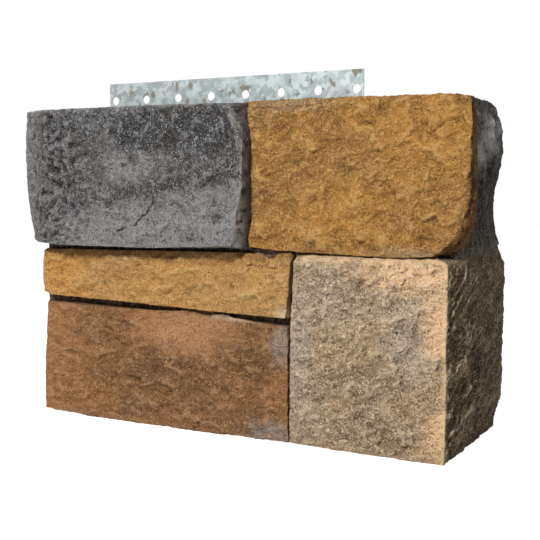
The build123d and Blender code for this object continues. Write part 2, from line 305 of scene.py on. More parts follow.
def along(points, count):
    """`count` places spread evenly by length along the straight runs between an outline's points."""
    points = np.array(points, dtype=float)
    station = np.concatenate([[0.0], np.cumsum(np.hypot(*np.diff(points, axis=0).T))])
    at = np.linspace(0.0, station[-1], count)
    return np.stack([np.interp(at, station, points[:, axis]) for axis in (0, 1)], axis=1)


def ragged_side(points, count, raggedness, seed):
    """One side of an outline, moved across itself by fractal noise that dies away at both ends."""
    side = along(points, count)
    run = np.gradient(side, axis=0)
    length = np.hypot(run[:, 0], run[:, 1])
    station = np.cumsum(length)
    fade = np.clip(np.minimum(station - station[0], station[-1] - station) / 3.0, 0.0, 1.0)
    level = np.zeros_like(station)
    slow = rough(station, level, 16.0, seed, octaves=2)
    quick = rough(station, level + 7.3, 4.0, seed + 5, octaves=3)
    push = raggedness * fade * (0.6 * slow + 0.7 * quick)
    return side + np.stack([-run[:, 1] / length * push, run[:, 0] / length * push], axis=1)


def outline_sheet(outline, step, raggedness, seed):
    """A grid of places inside four sides by Coons' rule: the mean across plus the mean up, less the plane of
    the four corners. Gives the places across and up, and each place's distance from the nearest side."""
    bottom, right, top, left = (outline[side] for side in ("bottom", "right", "top", "left"))
    width = np.hypot(*(np.array(bottom[-1]) - np.array(bottom[0])))
    height = np.hypot(*(np.array(left[-1]) - np.array(left[0])))
    columns = int(width / step) + 1
    rows = int(height / step) + 1
    low = ragged_side(bottom, columns, raggedness, seed)
    high = ragged_side(top, columns, raggedness, seed + 1)
    near = ragged_side(left, rows, raggedness, seed + 2)
    far = ragged_side(right, rows, raggedness, seed + 3)
    u = np.linspace(0.0, 1.0, columns)[None, :, None]
    v = np.linspace(0.0, 1.0, rows)[:, None, None]
    sheet = (1.0 - v) * low[None] + v * high[None] + (1.0 - u) * near[:, None] + u * far[:, None]
    sheet = sheet - ((1.0 - u) * (1.0 - v) * low[0] + u * (1.0 - v) * low[-1]
                     + (1.0 - u) * v * high[0] + u * v * high[-1])
    side_gap = np.minimum(u, 1.0 - u)[..., 0] * width
    level_gap = np.minimum(v, 1.0 - v)[..., 0] * height
    return sheet[..., 0], sheet[..., 1], np.minimum(side_gap, level_gap)


def on_front(across, up, out):
    """A place on the long face: across runs right, out comes forward."""
    return np.stack([across, -out, up], axis=-1)


def on_return(across, up, out):
    """A place on the return: across runs back to the wall, out comes to the right."""
    return np.stack([out, across, up], axis=-1)


def round_corner(across, up, out):
    """A place on the corner stone: across is below 0 on the long face and above 0 on the return. Places move
    in proportion along each face so that both meet in a mitre, whatever the height."""
    front_x = CORNER_LEFT + (across - CORNER_LEFT) / -CORNER_LEFT * (out - CORNER_LEFT)
    return_y = RETURN_END - (RETURN_END - across) / RETURN_END * (RETURN_END + out)
    on_long_face = across < 0.0
    x = np.where(on_long_face, front_x, out)
    y = np.where(on_long_face, -out, return_y)
    return np.stack([x, y, up], axis=-1)


def rim_order(rows, columns):
    """Indices round a grid's edge, anticlockwise as seen from outside: bottom, right, top, left."""
    index = np.arange(rows * columns).reshape(rows, columns)
    return np.concatenate([index[0, :-1], index[:-1, -1], index[-1, :0:-1], index[:0:-1, 0]])


def root_loop(outline, rows, columns):
    """Places round a stone's root in the same order as its rim."""
    low = along(outline["bottom"], columns)
    far = along(outline["right"], rows)
    high = along(outline["top"], columns)
    near = along(outline["left"], rows)
    return np.concatenate([low[:-1], far[:-1], high[:0:-1], near[:0:-1]])


def four_sides(bottom_left, bottom_right, top_right, top_left, bottom=(), right=(), top=(), left=()):
    """An outline from its four corners and the points between them on each side, rightward or upward."""
    return {"bottom": [bottom_left, *bottom, bottom_right], "right": [bottom_right, *right, top_right],
            "top": [top_left, *top, top_right], "left": [bottom_left, *left, top_left]}


def fan_map(count, left, right, height):
    """Bake map corners for a fan of `count` triangles, laid side by side in a strip."""
    strip = np.linspace(left, right, count + 1)
    corners = np.zeros((count, 3, 2))
    corners[:, 0] = np.stack([strip[1:], np.full(count, 0.8 * height)], axis=1)
    corners[:, 1] = np.stack([strip[:-1], np.full(count, 0.8 * height)], axis=1)
    corners[:, 2] = np.stack([strip[:-1], np.full(count, 0.2 * height)], axis=1)
    return corners


def new_piece(name, points, quads, triangles, quad_uv, triangle_uv, measures, finish):
    """A mesh object from whole arrays: places, quads, triangles, a bake map and one number per vertex for
    each measure. Edges that turn by more than half a right angle stay sharp."""
    mesh = bpy.data.meshes.new(name)
    mesh.vertices.add(len(points))
    mesh.vertices.foreach_set("co", place_in_frame(points).ravel())
    loops = np.concatenate([quads.ravel(), triangles.ravel()]).astype(np.int32)
    mesh.loops.add(len(loops))
    mesh.loops.foreach_set("vertex_index", loops)
    starts = np.concatenate([np.arange(len(quads)) * 4, quads.size + np.arange(len(triangles)) * 3])
    mesh.polygons.add(len(starts))
    mesh.polygons.foreach_set("loop_start", starts.astype(np.int32))
    mesh.update(calc_edges=True)
    mesh.polygons.foreach_set("use_smooth", np.ones(len(starts), dtype=bool))
    mesh.set_sharp_from_angle(angle=math.radians(45.0))
    bake_map = mesh.uv_layers.new(name="OFBake")
    corner_uv = np.concatenate([quad_uv.reshape(-1, 2), triangle_uv.reshape(-1, 2)])
    bake_map.uv.foreach_set("vector", corner_uv.ravel())
    for measure, values in measures.items():
        attribute = mesh.attributes.new(measure, "FLOAT", "POINT")
        attribute.data.foreach_set("value", np.asarray(values, dtype=np.float32))
    mesh.materials.append(finish)
    piece = bpy.data.objects.new(name, mesh)
    bpy.context.scene.collection.objects.link(piece)
    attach(piece, "root")
    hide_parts("cast_stone_panel")


def new_stone(name, place, sheet, root_outline, patches, finish, side_roughness, seed, root_out=STONE_ROOT,
              wear=None):
    """A closed stone: its face grid, rings down its sides and a fan behind. Each ring is further from the
    rim towards the root, quicker sideways than inwards, and is pitted by noise. The bake map has the face in
    the middle, the sides spread round it and the fan in a strip below. A vertex carries its share of the way
    down the side, its rise over its surroundings, which the finish uses for painted highlight and painted
    shade, each patch's mask and any wear of the arris, which on the corner stone also holds a painted
    highlight along the top of its long face."""
    across, up, out = sheet
    rows, columns = across.shape
    rim = rim_order(rows, columns)
    face = place(across, up, out).reshape(-1, 3)
    rim_points = face[rim]
    rim_across, rim_up, rim_out = (values.ravel()[rim] for values in sheet)
    root = root_loop(root_outline, rows, columns)
    share = (np.arange(1, SIDE_RINGS + 1) / SIDE_RINGS)[:, None] ** 1.6
    sideways = 1.0 - (1.0 - share) ** 2
    ring_across = rim_across + sideways * (root[:, 0] - rim_across)
    ring_up = rim_up + sideways * (root[:, 1] - rim_up)
    sides = place(ring_across, ring_up, rim_out + share * (root_out - rim_out))
    down = sides[-1] - rim_points
    forward = np.roll(rim_points, -4, axis=0) - np.roll(rim_points, 4, axis=0)
    outward = np.cross(down, forward)
    outward = outward / np.linalg.norm(outward, axis=1, keepdims=True)
    depth = share * np.linalg.norm(down, axis=1)
    steps = np.linalg.norm(np.roll(rim_points, -1, axis=0) - rim_points, axis=1)
    station = np.tile(np.cumsum(steps), (SIDE_RINGS, 1))
    push = side_roughness * np.minimum(split_face(station, 1.5 * depth, 9.0, seed, gain=0.7) - 0.1, 0.0)
    push = push * np.clip(depth / 1.2, 0.0, 1.0) * (1.0 - share ** 4)
    sides = sides + push[..., None] * outward
    root_middle = root.mean(axis=0)
    heart = place(root_middle[:1], root_middle[1:], np.array([root_out - 1.0]))
    points = np.concatenate([face, sides.reshape(-1, 3), heart])

    index = np.arange(rows * columns).reshape(rows, columns)
    face_quads = np.stack([index[:-1, :-1], index[:-1, 1:], index[1:, 1:], index[1:, :-1]], axis=-1)
    ring_index = rows * columns + np.arange(SIDE_RINGS * len(rim)).reshape(SIDE_RINGS, -1)
    rings = np.concatenate([rim[None], ring_index])
    after = np.roll(rings, -1, axis=1)
    side_quads = np.stack([rings[1:], after[1:], after[:-1], rings[:-1]], axis=-1)
    quads = np.concatenate([face_quads.reshape(-1, 4), side_quads.reshape(-1, 4)])
    fan = np.stack([after[-1], rings[-1], np.full(len(rim), len(points) - 1)], axis=-1)

    border = 0.004
    fan_strip = 0.03
    face_size = np.array([columns - 1.0, rows - 1.0])
    side_band = 0.5 * depth.max() / FACE_STEP
    grid = np.stack(np.meshgrid(np.arange(columns), np.arange(rows)), axis=-1)
    grid = grid.reshape(-1, 2) - face_size / 2.0
    ring_map = grid[rim] * (1.0 + 2.0 * share[..., None] * side_band / face_size)
    vertex_map = np.concatenate([grid, ring_map.reshape(-1, 2), np.zeros((1, 2))])
    vertex_map = vertex_map / (face_size + 2.0 * side_band)
    vertex_map = border + (vertex_map + 0.5) * (1.0 - 2.0 * border)
    vertex_map[:, 1] = fan_strip + vertex_map[:, 1] * (1.0 - fan_strip)
    fan_corners = fan_map(len(rim), border, 1.0 - border, fan_strip)

    # The rise measure sets the painted highlight on ridges and the painted shade in hollows; pits in the
    # sides count as hollows.
    above = 1.75 * out - blur(out, 2.0) - 0.5 * blur(out, 6.0) - 0.25 * blur(out, 20.0)
    rise = 0.5 + 0.21 * above / (np.sqrt(blur(above * above, 25.0)) + 0.1)
    side_rise = 0.6 + 0.6 * push
    carried = {"rise": np.concatenate([rise.ravel(), side_rise.ravel(), [0.5]]).clip(0.0, 1.0),
               "side": np.concatenate([np.zeros(rows * columns), np.repeat(share, len(rim)), [1.0]])}
    masks = {measure: mask for measure, mask, _, _ in patches}
    if wear is not None:
        masks["wear"] = wear
    for measure, mask in masks.items():
        flat = mask.ravel()
        carried[measure] = np.concatenate([flat, np.tile(flat[rim], SIDE_RINGS), [0.0]])
    new_piece(name, points, quads, fan, vertex_map[quads], fan_corners, carried, finish)


def settled(relief, gap):
    """Relief that dies down to under half of its height at a stone's rim, so that the rim runs true."""
    return relief * step_up(gap, -4.0, 5.0)


def worn_arris(gap, across, up, width, drop, seed):
    """How much a face falls at its rim: a fall inside a band whose width comes and goes by noise, so that
    the arris is chipped in places and crisp in others."""
    band = width * np.clip(0.5 + 0.8 * rough(across, up, 24.0, seed, octaves=5, gain=0.6), 0.2, 1.2)
    return 0.5 * drop * np.clip(1.0 - gap / band, 0.0, 1.0) * band / width


# Finishes

def linear(colour):
    """A node's output as it is, or three screen values of 0 to 255 as a linear colour by the sRGB curve."""
    def light(value):
        value = value / 255.0
        return value / 12.92 if value <= 0.04045 else ((value + 0.055) / 1.055) ** 2.4
    if isinstance(colour, bpy.types.NodeSocket):
        return colour
    return (*(light(value) for value in colour), 1.0)


def feed(tree, socket, value):
    """Give an input a value, or link an output to it."""
    if isinstance(value, bpy.types.NodeSocket):
        tree.links.new(value, socket)
    else:
        socket.default_value = value


def add_node(tree, kind, inputs=None, **settings):
    """A new node of a kind, with its settings made and its inputs fed."""
    made = tree.nodes.new(kind)
    for setting, value in settings.items():
        setattr(made, setting, value)
    for socket, value in (inputs or {}).items():
        feed(tree, made.inputs[socket], value)
    return made


EVEN = (1.0, 1.0, 1.0)
JOINT_BROWN = (72, 57, 42)
PIT_BROWN = (36, 27, 19)


class Finish:
    """A node material under construction, laid out by the object's own coordinates."""

    def __init__(self, name):
        self.material = bpy.data.materials.new(name)
        self.material.use_nodes = True
        self.tree = self.material.node_tree
        self.shader = self.tree.nodes["Principled BSDF"]
        self.place = self.node("ShaderNodeTexCoord").outputs["Object"]

    def node(self, kind, inputs=None, **settings):
        return add_node(self.tree, kind, inputs, **settings)

    def shade(self, inputs):
        """Feed inputs of the surface itself."""
        for socket, value in inputs.items():
            feed(self.tree, self.shader.inputs[socket], value)

    def measure(self, name):
        """A number carried by the piece's vertices."""
        return self.node("ShaderNodeAttribute", attribute_name=name).outputs["Fac"]

    def noise(self, size, detail=3.0, roughness=0.55, stretch=EVEN, offset=0.0):
        """Noise with bumps of about `size` millimetres, longer along an axis whose stretch is above 1."""
        scale = tuple(1.0 / part for part in stretch)
        moved = {"Vector": self.place, "Scale": scale, "Location": (offset,) * 3}
        place = self.node("ShaderNodeMapping", moved).outputs["Vector"]
        inputs = {"Vector": place, "Scale": 1.0 / (size * MM), "Detail": detail, "Roughness": roughness}
        return self.node("ShaderNodeTexNoise", inputs).outputs["Fac"]

    def cells(self, size):
        """Cells about `size` millimetres across: each one's random colour, and distance from its point."""
        return self.node("ShaderNodeTexVoronoi", {"Vector": self.place, "Scale": 1.0 / (size * MM)}).outputs

    def between(self, value, low, high, start=0.0, end=1.0):
        """A value's smooth rise from `start` at low to `end` at high."""
        inputs = {"Value": value, "From Min": low, "From Max": high, "To Min": start, "To Max": end}
        return self.node("ShaderNodeMapRange", inputs, interpolation_type="SMOOTHSTEP").outputs["Result"]

    def product(self, first, second):
        return self.node("ShaderNodeMath", {0: first, 1: second}, operation="MULTIPLY").outputs[0]

    def total(self, first, second):
        return self.node("ShaderNodeMath", {0: first, 1: second}, operation="ADD").outputs[0]

    def mixed(self, share, first, second):
        """A colour that goes from the first to the second as the share goes from 0 to 1."""
        inputs = {0: share, 6: linear(first), 7: linear(second)}
        return self.node("ShaderNodeMix", inputs, data_type="RGBA").outputs[2]

    def bump(self, height, strength, depth):
        """Fine relief too small for the mesh; depth in millimetres."""
        made = self.node("ShaderNodeBump", {"Height": height, "Strength": strength, "Distance": depth * MM})
        self.shade({"Normal": made.outputs["Normal"]})


def stone_finish(name, dark, middle, pale, tints, patches, grain_contrast, hollow_shade_strength, streak=EVEN, worn=None,
                 mottle_size=6.0, grain_size=1.1, joint_start=0.05, joint_colour=JOINT_BROWN):
    """Pigmented cast stone. The colour drifts between two tints by a broad noise and mottles from dark to
    middle to pale by smaller ones, takes each patch's colour by its mask, is sprinkled with pale and dark
    grains, is paler on ridges as painted highlight and darker in hollows as painted shade, darkens down its
    sides into the joints partly as bare concrete and partly as painted shade, and is pale where its arris is
    worn."""
    joint_run = 0.4
    bump_depth = 2.2
    finish = Finish(name)
    drift = finish.noise(4.0 * mottle_size, 5.0, 0.6, streak, 0.23)
    colour = finish.mixed(finish.between(drift, 0.50, 0.68, 0.0, 0.8), middle, tints[0])
    colour = finish.mixed(finish.between(drift, 0.50, 0.32, 0.0, 0.8), colour, tints[1])
    mottle = finish.noise(mottle_size, 6.0, 0.7, streak)
    colour = finish.mixed(finish.between(mottle, 0.48, 0.26, 0.0, 0.4), colour, dark)
    colour = finish.mixed(finish.between(mottle, 0.50, 0.74, 0.0, 0.5), colour, pale)
    blotch = finish.noise(0.7 * mottle_size, 5.0, 0.7, streak, 0.71)
    for measure, _, patch_colour, strength in patches:
        broken = finish.between(blotch, 0.28, 0.60, 0.55, strength)
        colour = finish.mixed(finish.product(finish.measure(measure), broken), colour, patch_colour)
    grain = finish.noise(grain_size, 4.0, 0.7, EVEN, 0.13)
    patchy = finish.between(finish.noise(4.0 * grain_size, 3.0, 0.6, streak, 0.57), 0.36, 0.62, 0.35, 1.1)
    for grain_colour, full in ((pale, 0.62), (dark, 0.38)):
        sprinkled = finish.between(grain, 0.50, full, 0.0, grain_contrast)
        colour = finish.mixed(finish.product(patchy, sprinkled), colour, grain_colour)
    # Painted highlight: paler on ridges, where the rise measure is high.
    rise = finish.measure("rise")
    colour = finish.mixed(finish.between(rise, 0.52, 0.92, 0.0, 0.45), colour, pale)
    if worn:
        chipped = finish.between(finish.noise(6.0, 4.0, 0.65, EVEN, 0.53), 0.35, 0.62)
        colour = finish.mixed(finish.product(finish.measure("wear"), chipped), colour, worn)
    # Darker down each side into the joint: partly bare concrete, partly painted shade.
    joint = finish.mixed(finish.between(grain, 0.38, 0.60), PIT_BROWN, joint_colour)
    down_side = finish.between(finish.measure("side"), joint_start, joint_start + joint_run, 0.0, 0.9)
    colour = finish.mixed(down_side, colour, joint)
    # Painted shade: darker in hollows, where the rise measure is low, by the strength given for it.
    colour = finish.mixed(finish.between(rise, 0.46, 0.04, 0.0, hollow_shade_strength), colour, PIT_BROWN)
    finish.shade({"Base Color": colour, "Roughness": finish.between(grain, 0.3, 0.7, 0.80, 0.95),
                  "Specular IOR Level": 0.3})
    crinkle = finish.noise(3.0 * grain_size, 5.0, 0.66, streak, 0.91)
    finish.bump(finish.total(crinkle, finish.product(grain, 0.45)), 1.0, bump_depth)
    return finish.material


def concrete_finish(name, dark, pale):
    """Plain grey concrete: cloudy, with fine sand and small dark air holes, and stained in the joints."""
    finish = Finish(name)
    cloud = finish.noise(26.0, 5.0, 0.6)
    colour = finish.mixed(finish.between(cloud, 0.35, 0.68), dark, pale)
    sand = finish.noise(1.3, 2.0, 0.6, EVEN, 0.2)
    colour = finish.mixed(finish.between(sand, 0.45, 0.25, 0.0, 0.45), colour, dark)
    pit = finish.between(finish.cells(7.0)["Distance"], 0.16, 0.08)
    colour = finish.mixed(finish.product(pit, 0.7), colour, PIT_BROWN)
    blotch = finish.between(finish.noise(3.0, 4.0, 0.65), 0.40, 0.60)
    stain = finish.mixed(blotch, JOINT_BROWN, (150, 122, 100))
    colour = finish.mixed(finish.product(finish.measure("joint"), 0.9), colour, stain)
    finish.shade({"Base Color": colour, "Roughness": 0.93, "Specular IOR Level": 0.25})
    finish.bump(finish.total(sand, finish.product(pit, -1.2)), 0.7, 0.5)
    return finish.material


def galvanised_finish(name):
    """Galvanised sheet: faint spangles, dull grey smears, and splashes of dried cement with soft rims."""
    zinc_dark = (150, 159, 160)
    zinc_pale = (182, 191, 191)
    zinc_dull = (122, 130, 131)
    cement = (122, 112, 95)
    finish = Finish(name)
    spangle = finish.node("ShaderNodeSeparateColor", {"Color": finish.cells(3.2)["Color"]}).outputs["Red"]
    colour = finish.mixed(finish.between(spangle, 0.1, 0.9), zinc_dark, zinc_pale)
    smear = finish.between(finish.noise(7.0, 4.0, 0.6, (2.0, 1.0, 1.0), 0.4), 0.50, 0.72, 0.0, 0.5)
    colour = finish.mixed(smear, colour, zinc_dull)
    splash = finish.between(finish.noise(5.5, 3.0, 0.5, (1.0, 1.0, 1.4), 0.9), 0.58, 0.66, 0.0, 0.85)
    colour = finish.mixed(splash, colour, cement)
    finish.shade({"Base Color": colour, "Metallic": finish.between(splash, 0.0, 0.5, 0.85, 0.0),
                  "Roughness": finish.between(splash, 0.0, 0.5, 0.42, 0.9)})
    finish.bump(splash, 0.4, 0.3)
    return finish.material


# The six stones of the casting. A patch is its measure's name, its mask, its colour and its strength.

def grey_stone():
    """The grey stone, upper left and most proud: a granular face with a ridge, knobs by its free end, a
    crack and a right side that is broken back above and below."""
    outline = four_sides(
        (-284.8, 118), (-131, 117.6), (-135.6, 199.4), (-290.6, 202.4),
        bottom=[(-280, 116), (-262, 114.9), (-190, 114.9)],
        right=[(-127.6, 128), (-126.6, 140), (-122.8, 154), (-123.6, 160), (-123.4, 180.6), (-129.4, 189)],
        top=[(-276, 203.4), (-188, 203), (-140, 202.2)],
        left=[(-290.2, 144), (-292, 177)])
    root = four_sides((-289, 114.6), (-123, 114.6), (-123, 203), (-291.5, 203))
    across, up, gap = outline_sheet(outline, FACE_STEP, raggedness=0.3, seed=11)
    face = (across, up)
    end_strip = step_up(across, -274, -280)
    knobby = step_up(across, -228, -262) * (1 - end_strip)
    knobs = lumps(*face, 5, 20)
    relief = 1.2 * split_face(*face, 13, 21, gain=0.62)
    relief += knobby * (2.2 * knobs + 2 * split_face(*face, 7, 22, ridged=0.5, gain=0.66))
    relief += 2.2 * end_strip * split_face(1.6 * across, 0.4 * up, 6, 25, ridged=0.5)
    relief += 1.2 * flakes(*face, 8, 23) + 0.5 * flakes(across, 0.7 * up, 3.2, 24)
    crack_line = [(-214.8, 124.3), (-207.7, 126.9), (-200.7, 129), (-196, 133.4), (-189, 142.2),
                  (-187.5, 144.7)]
    relief -= crack(*face, crack_line, width=0.5, depth=2.2, seed=26)
    out = base_form(FRONT_AXES, *face, lowest=1, seed=27) + settled(relief, gap)
    out -= worn_arris(gap, *face, width=1.3, drop=0.6, seed=28)
    ridge = 143 + 0.14 * (across + 233)
    under_ridge = step_up(up, ridge - 4, ridge + 2) * step_up(up, ridge + 14, ridge + 4)
    under_ridge *= step_up(across, -240, -205)
    lower = step_up(up, ridge + 1, ridge - 6) * step_up(across, -276, -240)
    # This pale mask is a lighter patch mid-face and, at 0.7, painted light on the end strip, which leans
    # towards the light.
    pale = np.maximum(blob(*face, (-206, 165), (22, 10), 29), 0.7 * step_up(across, -276, -286))
    brown = np.maximum(under_ridge, 0.5 * blob(*face, (-246, 160), (22, 20), 32))
    # This mask is a dark patch at the upper right, and the creases between the knobs darkened partly by dark
    # pigment and partly by painted shade.
    dark_and_painted_shade = np.maximum(blob(*face, (-168, 188), (62, 23), 33), knobby * step_up(knobs, 0.34, 0.12))
    patches = [
        ("dark_and_painted_shade", dark_and_painted_shade, (23, 22, 24), 0.95),
        ("pale", np.maximum(lower, pale), (136, 134, 132), 0.9),
        ("brown", brown, (54, 45, 38), 0.95)]
    finish = stone_finish(
        "grey_stone", (34, 32, 31), (95, 92, 90), (160, 159, 158), ((98, 90, 82), (84, 84, 88)), patches,
        grain_contrast=0.9, hollow_shade_strength=0.65, worn=(150, 146, 141))
    new_stone("grey_stone", on_front, (*face, out), root, patches, finish, side_roughness=1.6, seed=31,
              wear=np.exp(-gap / 1.2))


def gold_stone():
    """The gold stone, upper right: a gently cleft face, a rounded lower corner over the return and a nicked
    end."""
    outline = four_sides(
        (-127, 116.8), (0.4, 122.8), (8.4, 201.4), (-129.5, 203.2),
        bottom=[(-97, 115), (-52, 113.8), (-26, 113.6), (-11, 114.8), (-5, 118.2)],
        right=[(4.8, 130.6), (8.2, 139.4), (9.8, 150), (8.2, 156.4), (10.2, 162), (10.4, 180), (10.2, 192)],
        top=[(-104, 203.8), (-65, 203.4), (-30, 202.9), (-2, 202.6)],
        left=[(-125.4, 140), (-125.2, 178), (-127.6, 190)])
    root = four_sides(
        (-126, 114.6), (4, 119.6), (8.4, 201.4), (-126, 203.4),
        bottom=[(-14, 113.2), (-4, 115.4)],
        right=[(9.6, 130), (11.2, 142), (10.6, 172), (9.6, 190)])
    across, up, gap = outline_sheet(outline, FACE_STEP, raggedness=0.6, seed=41)
    face = (across, up)
    climb = 0.6 * (0.87 * across + 0.5 * up)
    relief = 1.8 * split_face(climb, 0.87 * up - 0.5 * across, 13, 44, ridged=0.3, gain=0.56)
    relief += 2.8 * flakes(*face, 11, 42)
    relief += 0.9 * flakes(*face, 4.6, 43)
    relief -= crack(*face, [(-122, 199), (-104, 198.4), (-78, 199.6)], width=0.8, depth=1, seed=58)
    relief -= crack(*face, [(-13.6, 181.2), (-5.8, 186.3)], width=0.8, depth=1.2, seed=47)
    relief -= crack(*face, [(-21.4, 168.4), (-21.3, 163)], width=0.7, depth=0.9, seed=48)
    out = base_form(FRONT_AXES, np.maximum(across, -121), up, lowest=-9, seed=49) + settled(relief, gap)
    out -= worn_arris(gap, *face, width=1.4, drop=0.6, seed=50)
    out -= 3 * (step_up(across + 0.8 * (up - 200), -3, 5) * step_up(up, 194, 198))
    brown = blobs(*face, ((-60, 168), (30, 12), 56), ((-96, 150), (20, 16), 57))
    grey = blobs(*face, ((-98, 201), (30, 5), 51), ((-20, 116), (26, 4), 52))
    bright = blobs(*face, ((-18, 180), (34, 24), 53), ((-70, 140), (36, 16), 54))
    patches = [
        ("brown", brown, (136, 98, 54), 0.7),
        ("grey", grey, (146, 124, 96), 0.8),
        ("bright", bright, (186, 132, 62), 0.75)]
    # The sides darken from the rim itself: partly bare concrete, partly painted shade on the end wall.
    finish = stone_finish(
        "gold_stone", (92, 60, 22), (152, 108, 52), (214, 170, 106), ((168, 118, 50), (136, 103, 64)),
        patches, grain_contrast=0.7, hollow_shade_strength=0.25, streak=(1.3, 1.0, 1.0), joint_start=0.0,
        joint_colour=(140, 97, 48))
    new_stone("gold_stone", on_front, (*face, out), root, patches, finish, side_roughness=3.6, seed=55,
              root_out=GOLD_ROOT)


def tan_strip():
    """The tan strip: a low course with level bedding, lumps at its free end and a bite out of its top."""
    outline = four_sides(
        (-284.6, 82.2), (-99.8, 75.2), (-96.4, 112.4), (-284.8, 109.6),
        bottom=[(-279, 80.2), (-228, 79), (-137, 76)],
        right=[(-98.4, 82), (-97.2, 94)],
        top=[(-279, 111.2), (-196, 112.4), (-131, 113.2), (-121, 112.8), (-113, 110.4),
             (-107.2, 109.8), (-105.4, 113.6), (-98, 113.9)],
        left=[(-285.6, 95)])
    root = four_sides((-288.6, 81), (-97, 75.6), (-96.2, 112), (-288.6, 111.4))
    across, up, gap = outline_sheet(outline, FACE_STEP, raggedness=0.25, seed=61)
    face = (across, up)
    free_end = step_up(across, -232, -266)
    relief = 0.95 * split_face(0.7 * across, up, 7, 64, ridged=0.3, gain=0.62)
    relief += (1.8 * flakes(0.8 * across, up, 14, 66) + 1.5 * flakes(0.7 * across, up, 7, 62)
               + 0.6 * flakes(*face, 3.4, 65))
    relief += 0.7 * free_end * split_face(*face, 8, 63, ridged=0.2)
    relief -= crack(*face, [(-236, 97), (-228, 94.6), (-220, 92)], width=0.7, depth=1.1, seed=67)
    relief -= crack(*face, [(-128, 105.6), (-107, 104.4)], width=0.7, depth=1.3, seed=72)
    out = base_form(FRONT_AXES, *face, lowest=-7, seed=68) + settled(relief, gap)
    out -= worn_arris(gap, *face, width=1.2, drop=0.5, seed=69)
    pale = 0.8 * step_up(across, -190, -120) * step_up(up, 112, 103)
    # The tan darkens towards its top: painted shadow under the grey stone's overhang.
    brown = step_up(up - 0.6 * rough(*face, 14, 73), 102, 112)
    patches = [
        ("pale", pale, (178, 140, 88), 0.7),
        ("orange", 0.9 * free_end, (200, 140, 62), 0.8),
        ("brown", brown, (134, 94, 48), 0.85),
        ("white", blob(*face, (-101, 78), (6, 4), 70), (216, 198, 164), 0.8)]
    finish = stone_finish(
        "tan_strip", (114, 78, 34), (182, 135, 75), (216, 178, 120), ((194, 140, 70), (166, 130, 84)),
        patches, grain_contrast=0.65, hollow_shade_strength=0.25, streak=(1.8, 1.0, 1.0), mottle_size=5.0)
    new_stone("tan_strip", on_front, (*face, out), root, patches, finish, side_roughness=0.7, seed=71)


def rust_stone():
    """The rust stone, lower left: crinkled level bedding, a smooth shell-shaped flake below its top edge
    and a rough knob beside it."""
    outline = four_sides(
        (-284.4, 1.8), (-97.2, 1), (-97.4, 70), (-281.6, 73.4),
        bottom=[(-240, 0.5), (-150, 0.5)],
        right=[(-96.6, 35)],
        top=[(-277, 75.4), (-227, 74.4), (-178, 74.8), (-160, 76.4), (-146, 75), (-112, 71)],
        left=[(-284.6, 21), (-282.8, 56)])
    root = four_sides((-287, 0.4), (-96.2, 0.4), (-96.2, 70.8), (-287, 76.2))
    across, up, gap = outline_sheet(outline, FACE_STEP, raggedness=0.5, seed=81)
    face = (across, up)
    flake = blob(*face, (-170, 64), (32, 15), 82, 0.25)
    knob = blob(*face, (-129, 58), (11, 10), 83, 0.3)
    crinkle = 1.3 * split_face(0.65 * across + 0.1 * up, up - 0.05 * across, 9, 85, ridged=0.45, gain=0.62)
    crinkle += 1.6 * flakes(0.7 * across, up, 8, 86)
    crinkle += 0.5 * flakes(*face, 3.6, 87)
    relief = crinkle * (1 - 0.6 * flake) + 0.8 * knob
    out = base_form(FRONT_AXES, *face, lowest=-7, seed=90) + settled(relief, gap)
    out -= worn_arris(gap, *face, width=1.3, drop=0.6, seed=91)
    brown = blobs(*face, ((-124, 50), (18, 22), 95), ((-190, 36), (40, 16), 96))
    blue = blobs(*face, ((-101, 60), (8, 12), 92), ((-106, 5), (18, 8), 93))
    # The salmon flake is partly a pinker tone and partly painted light, paler where the scoop tilts up to the
    # light.
    patches = [
        ("brown", brown, (102, 72, 44), 0.75),
        ("orange", 0.8 * step_up(across, -236, -280), (178, 122, 76), 0.8),
        ("salmon", 0.8 * flake, (200, 150, 103), 0.75),
        ("blue", blue, (146, 138, 128), 0.9),
        ("white", blob(*face, (-130, 73.4), (26, 2.2), 97), (196, 172, 146), 0.85)]
    finish = stone_finish(
        "rust_stone", (72, 47, 26), (132, 93, 56), (190, 148, 106), ((146, 97, 55), (116, 86, 58)), patches,
        grain_contrast=0.7, hollow_shade_strength=0.35, streak=(1.7, 1.0, 1.0))
    new_stone("rust_stone", on_front, (*face, out), root, patches, finish, side_roughness=0.8, seed=94)


